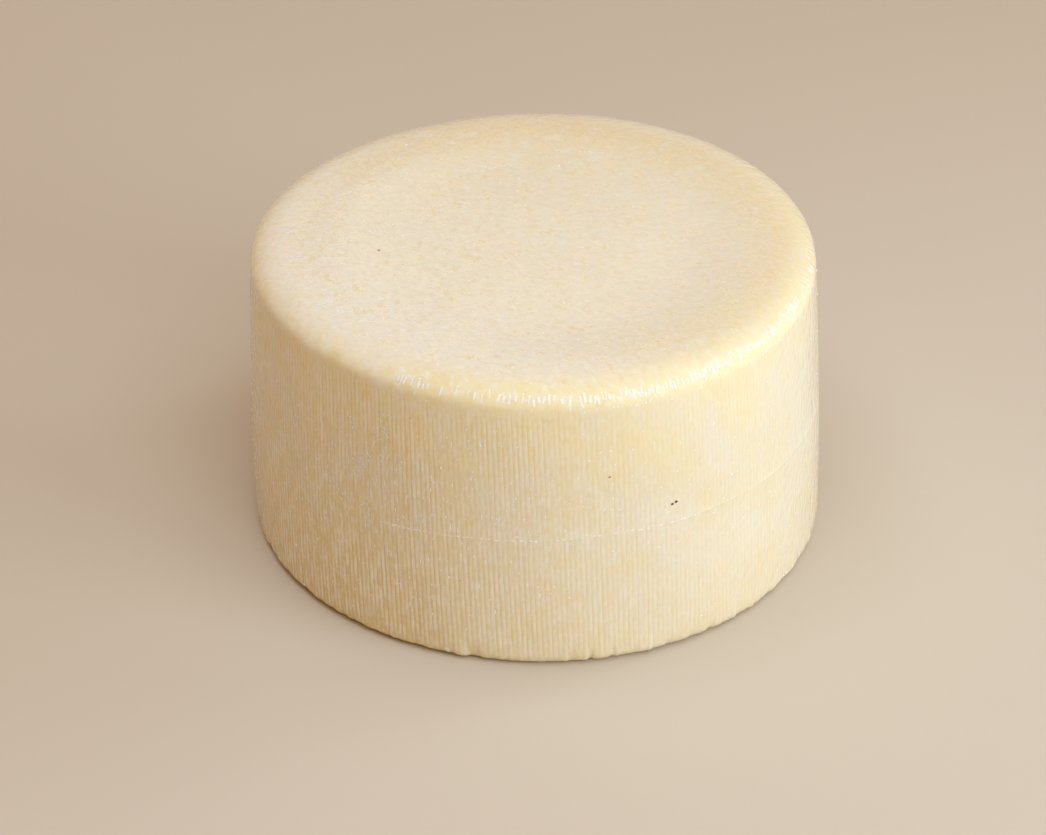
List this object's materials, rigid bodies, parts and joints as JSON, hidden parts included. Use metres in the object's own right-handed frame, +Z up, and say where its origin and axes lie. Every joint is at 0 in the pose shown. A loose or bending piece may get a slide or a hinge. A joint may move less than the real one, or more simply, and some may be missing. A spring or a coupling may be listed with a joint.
{
  "type": "semi-cured cheese wheel",
  "caption": "Whole uncut round wheel of semi-cured cheese with a sunken top, rounded shoulder and finely ribbed wall, lying flat on its underside.",
  "frame": {"origin": "centre of the wheel's bounding box, at the plane of its flat underside", "axes": "+Z up through the wheel from the underside to the top face, -Y towards the front"},
  "size_m": [0.1664, 0.1662, 0.088],
  "materials": {
    "rind": null
  },
  "bodies": {
    "root": {"cheese_wheel": "rind"}
  },
  "joints": []
}
